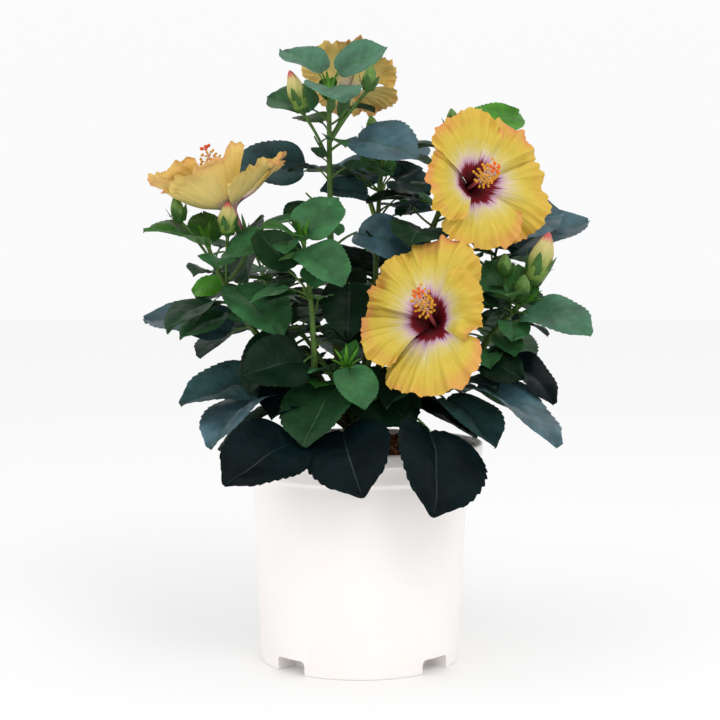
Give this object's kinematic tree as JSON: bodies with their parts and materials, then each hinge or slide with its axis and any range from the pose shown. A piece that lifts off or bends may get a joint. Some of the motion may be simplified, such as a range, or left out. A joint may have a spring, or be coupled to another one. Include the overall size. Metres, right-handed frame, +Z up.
{
  "type": "potted hibiscus shrub",
  "caption": "Upright garden hibiscus in bloom: leafy stems with large open blooms and buds, growing in a plain round white nursery pot filled with bark.",
  "frame": {"origin": "centre of the pot's flat underside", "axes": "+Z up along the pot's axis; -Y is the front seen in the picture; +X to the picture's right"},
  "size_m": [0.4524, 0.3588, 0.6124],
  "materials": {
    "pot": "slightly warm white, half gloss",
    "bark": "rough chipped bark",
    "stem": "grey brown bark",
    "foliage": "half gloss leaf green",
    "petals": "soft yellow petals"
  },
  "bodies": {
    "root": {"pot": "pot", "bark_filling": "bark", "woody_base": "stem", "bough_center": "stem", "bough_left": "stem", "bough_front": "stem", "bough_right": "stem", "bough_upper_right": "stem", "bough_front_right": "stem", "bough_back_center": "stem", "bough_back_left": "stem", "bough_back_right": "stem", "bough_back": "stem", "foliage_center": "foliage", "foliage_left": "foliage", "foliage_front": "foliage", "foliage_right": "foliage", "foliage_upper_right": "foliage", "foliage_front_right": "foliage", "foliage_back_center": "foliage", "foliage_back_left": "foliage", "foliage_back_right": "foliage", "foliage_back": "foliage", "foliage_front_shoot": "foliage", "foliage_skirt_left": "foliage", "foliage_skirt_front_left": "foliage", "foliage_skirt_front_right": "foliage", "foliage_skirt_right": "foliage", "foliage_skirt_back_left": "foliage", "foliage_skirt_back_right": "foliage", "foliage_inner_left": "foliage", "foliage_inner_front": "foliage", "foliage_inner_right": "foliage", "foliage_inner_back": "foliage", "bloom_top": "petals", "bloom_left": "petals", "bloom_upper_right": "petals", "bloom_front_right": "petals"}
  },
  "joints": []
}
